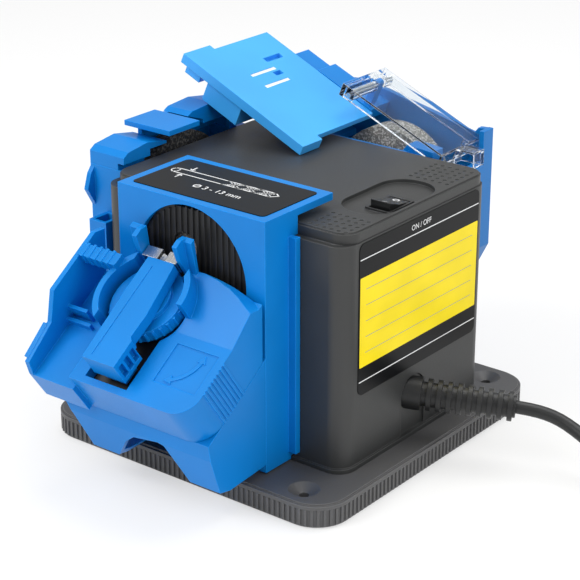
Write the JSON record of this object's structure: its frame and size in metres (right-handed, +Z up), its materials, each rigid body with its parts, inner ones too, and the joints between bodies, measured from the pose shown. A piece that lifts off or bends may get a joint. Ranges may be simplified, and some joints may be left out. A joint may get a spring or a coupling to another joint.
{
  "type": "drill bit sharpener",
  "caption": "Bench sharpener for twist drills, chisels and knives: black motor housing on a broad base with blue grinding stations, a swing drill table, sloped sled and clear guard.",
  "frame": {"origin": "middle of the base underside, on the plane it stands on", "axes": "+X towards the switch side wall, -Y towards the drill station, +Z up"},
  "size_m": [0.4531, 0.3378, 0.1947],
  "materials": {
    "base_black_abs": "matte",
    "housing_grey_abs": "satin",
    "rubber_black": "matte",
    "blue_abs": "satin",
    "light_blue_abs": "satin",
    "screen_black_abs": "matte",
    "side_sticker": "gloss",
    "size_sticker": "gloss",
    "switch_nylon": "satin",
    "zinc_steel": "satin",
    "ground_steel": "polished",
    "motor_can_steel": "satin",
    "rotor_laminated_steel": "satin",
    "commutator_copper": "satin",
    "frame_aluminium": "cast",
    "fan_nylon": "matte",
    "drive_rubber": "matte",
    "grey_abrasive": "grit",
    "black_abrasive": "grit",
    "clear_polycarbonate": "clear",
    "cord_pvc": "satin",
    "tie_nylon": "matte",
    "plug_brass": "satin"
  },
  "bodies": {
    "base": {"base_plate": "base_black_abs", "rubber_feet": "rubber_black", "base_screws": "zinc_steel", "housing_body": "housing_grey_abs", "housing_lid": "housing_grey_abs", "lid_screws": "zinc_steel", "side_label": "side_sticker", "switch_frame": "switch_nylon", "motor_cradle": "frame_aluminium", "motor_can": "motor_can_steel", "front_bearing": "ground_steel", "rear_bearing": "ground_steel", "cross_bearings": "ground_steel", "cross_bracket": "frame_aluminium", "knife_station": "blue_abs", "knife_hood": "blue_abs", "knife_guide": "blue_abs", "chisel_station": "blue_abs", "chisel_rest": "blue_abs", "chisel_rail": "blue_abs", "guard_bracket": "blue_abs", "guard_pin": "zinc_steel", "cord_boot": "cord_pvc", "power_cord": "cord_pvc", "cord_coil": "cord_pvc", "cord_tie": "tie_nylon", "plug_body": "cord_pvc", "plug_blades": "plug_brass"},
    "rotor": {"motor_shaft": "ground_steel", "rotor_core": "rotor_laminated_steel", "commutator": "commutator_copper", "cooling_fan": "fan_nylon", "drive_cone": "drive_rubber", "drill_wheel": "grey_abrasive", "drill_wheel_nut": "zinc_steel", "chisel_wheel": "grey_abrasive", "chisel_wheel_nut": "zinc_steel"},
    "cross_drive": {"cross_shaft": "ground_steel", "driven_cone": "drive_rubber", "knife_wheel": "black_abrasive", "knife_wheel_nut": "zinc_steel"},
    "rocker": {"rocker_switch": "switch_nylon"},
    "drill_unit": {"drill_housing": "blue_abs", "size_label": "size_sticker", "wheel_screen": "screen_black_abs", "drill_base": "blue_abs", "table_pivot": "zinc_steel"},
    "table": {"drill_table": "blue_abs", "knob_well": "screen_black_abs"},
    "knob": {"clamp_knob": "light_blue_abs"},
    "bar": {"clamp_bar": "light_blue_abs"},
    "jaw_left": {"left_jaw": "ground_steel"},
    "jaw_right": {"right_jaw": "ground_steel"},
    "sled": {"chisel_sled": "light_blue_abs", "sled_strips": "ground_steel"},
    "guard": {"clear_guard": "clear_polycarbonate"}
  },
  "joints": [
    {"name": "attachment_lift", "type": "slide", "parent": "base", "child": "drill_unit", "axis": [0, 0, 1], "range_m": [0, 0.03]},
    {"name": "motor_spin", "type": "hinge", "parent": "base", "child": "rotor", "pos_m": [0, 0, 0.117], "axis": [0, 1, 0], "continuous": true},
    {"name": "knife_wheel_spin", "type": "hinge", "parent": "base", "child": "cross_drive", "pos_m": [-0.05, 0.006, 0.117], "axis": [1, 0, 0], "continuous": true},
    {"name": "rocker_tilt", "type": "hinge", "parent": "base", "child": "rocker", "pos_m": [0.0701, -0.0066, 0.1445], "axis": [1, 0, 0], "range_deg": [0, 15]},
    {"name": "table_swing", "type": "hinge", "parent": "drill_unit", "child": "table", "pos_m": [0, -0.10259, 0.07208], "axis": [0, -0.5736, 0.8192], "range_deg": [-3, 3]},
    {"name": "knob_turn", "type": "hinge", "parent": "table", "child": "knob", "pos_m": [-0.0106, -0.10743, 0.10165], "axis": [0, -0.5736, 0.8192], "range_deg": [-90, 360]},
    {"name": "jaw_left_close", "type": "slide", "parent": "table", "child": "jaw_left", "axis": [1, 0, 0], "range_m": [-0.0006, 0.0024]},
    {"name": "jaw_right_close", "type": "slide", "parent": "table", "child": "jaw_right", "axis": [-1, 0, 0], "range_m": [-0.0006, 0.0024]},
    {"name": "bar_feed", "type": "slide", "parent": "table", "child": "bar", "axis": [0, 0.8192, 0.5736], "range_m": [-0.004, 0]},
    {"name": "sled_slide", "type": "slide", "parent": "base", "child": "sled", "axis": [0, 1, 0], "range_m": [-0.015, 0]},
    {"name": "guard_lift", "type": "hinge", "parent": "base", "child": "guard", "pos_m": [-0.01758, 0.095, 0.1731], "axis": [0, -1, 0], "range_deg": [0, 70]}
  ],
  "couplings": [
    {"joint": "knife_wheel_spin", "follows": "motor_spin", "ratio": -1},
    {"joint": "jaw_left_close", "follows": "knob_turn", "m_per_rad": 0.00038197},
    {"joint": "jaw_right_close", "follows": "knob_turn", "m_per_rad": 0.00038197}
  ]
}
